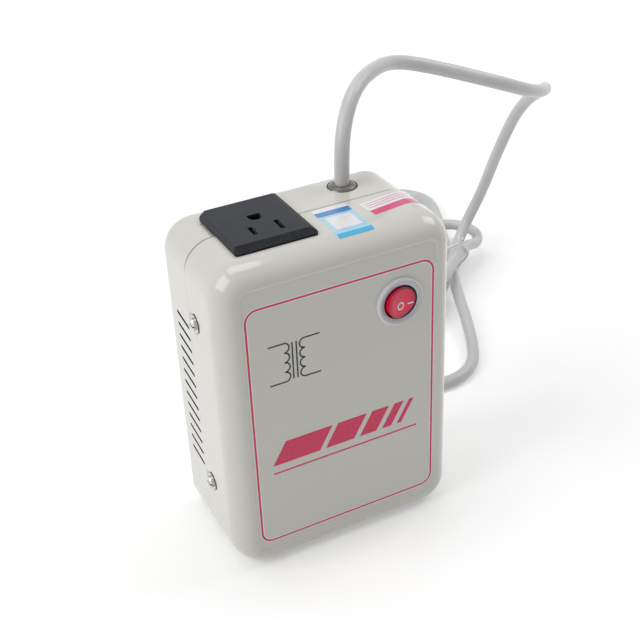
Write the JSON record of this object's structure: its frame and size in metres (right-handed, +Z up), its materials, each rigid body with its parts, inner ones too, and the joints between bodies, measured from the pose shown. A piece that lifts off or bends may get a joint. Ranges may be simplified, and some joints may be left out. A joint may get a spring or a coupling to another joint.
{
  "type": "travel voltage converter",
  "caption": "Steel box with a step-down transformer inside, a mains outlet on its top, a round red rocker switch on its front and a tied mains cord with a flat-pin plug.",
  "frame": {"origin": "under the middle of the case's width, on the plane that it stands on, where its front and rear shells part", "axes": "+Z up, through the outlet on the top; -Y out of the front, where the switch is; +X to the right as the front is faced"},
  "size_m": [0.2866, 0.3221, 0.206],
  "materials": {
    "case_paint": "semi-gloss warm light grey powder coat",
    "outlet_plastic": "fine matt texture",
    "outlet_insulator": "moulded insulator",
    "contact_brass": "stamped",
    "bezel_plastic": "silver grey, polished",
    "rocker_red": "clear red, polished",
    "plunger_nylon": "natural nylon",
    "bushing_plastic": "dark grey moulded",
    "cord_sheath": "grey extruded, slight gloss",
    "screw_nickel": "bright nickel plate",
    "fastener_zinc": "zinc plate",
    "core_steel": "varnished electrical steel",
    "clamp_steel": "zinc plate",
    "bobbin_nylon": "natural nylon",
    "winding_copper": "enamelled copper",
    "tape_polyester": "yellow film",
    "cutout_case": "moulded",
    "lead_brown": "insulated lead",
    "lead_blue": "insulated lead",
    "lead_green": "insulated lead",
    "lead_red": "insulated lead",
    "lead_black": "insulated lead",
    "lead_white": "insulated lead",
    "tie_plastic": "white coated wire",
    "plug_plastic": "grey moulded",
    "pin_brass": "plated brass"
  },
  "bodies": {
    "case": {"front_shell": "case_paint", "rear_shell": "case_paint", "case_washers": "screw_nickel", "case_screws": "screw_nickel", "case_nuts": "fastener_zinc", "outlet_cover": "outlet_plastic", "outlet_body": "outlet_insulator", "line_contact": "contact_brass", "neutral_contact": "contact_brass", "ground_contact": "contact_brass", "switch_body": "bezel_plastic", "switch_terminals": "contact_brass", "cord_bushing": "bushing_plastic", "cord_sheath_end": "cord_sheath", "core_e_stack": "core_steel", "core_i_stack": "core_steel", "clamp_bars": "clamp_steel", "core_bolts": "fastener_zinc", "core_washers": "fastener_zinc", "core_spacers": "fastener_zinc", "core_nuts": "fastener_zinc", "bobbin": "bobbin_nylon", "inner_winding": "winding_copper", "winding_tape": "tape_polyester", "outer_winding": "winding_copper", "outer_tape": "tape_polyester", "thermal_cutout": "cutout_case", "lead_line_in": "lead_brown", "lead_neutral_in": "lead_blue", "lead_earth": "lead_green", "lead_switch_out": "lead_red", "lead_cutout": "lead_red", "lead_outlet_line": "lead_black", "lead_outlet_neutral": "lead_white", "cord_arch": "cord_sheath", "cord_hank": "cord_sheath", "cord_tail": "cord_sheath", "twist_tie": "tie_plastic", "plug_body": "plug_plastic", "plug_strain_relief": "plug_plastic", "plug_line_pin": "pin_brass", "plug_neutral_pin": "pin_brass", "plug_earth_pin": "pin_brass"},
    "rocker": {"switch_rocker": "rocker_red", "rocker_plunger": "plunger_nylon"},
    "lever": {"switch_lever": "contact_brass"}
  },
  "joints": [
    {"name": "rocker_tilt", "type": "hinge", "parent": "case", "child": "rocker", "pos_m": [0.0287, -0.0348, 0.12565], "axis": [0, 0, -1], "range_deg": [0, 22]},
    {"name": "lever_tilt", "type": "hinge", "parent": "case", "child": "lever", "pos_m": [0.0287, -0.0228, 0.12565], "axis": [0, 0, -1], "range_deg": [-16, 0]}
  ],
  "couplings": [
    {"joint": "lever_tilt", "follows": "rocker_tilt", "ratio": -0.7272}
  ]
}
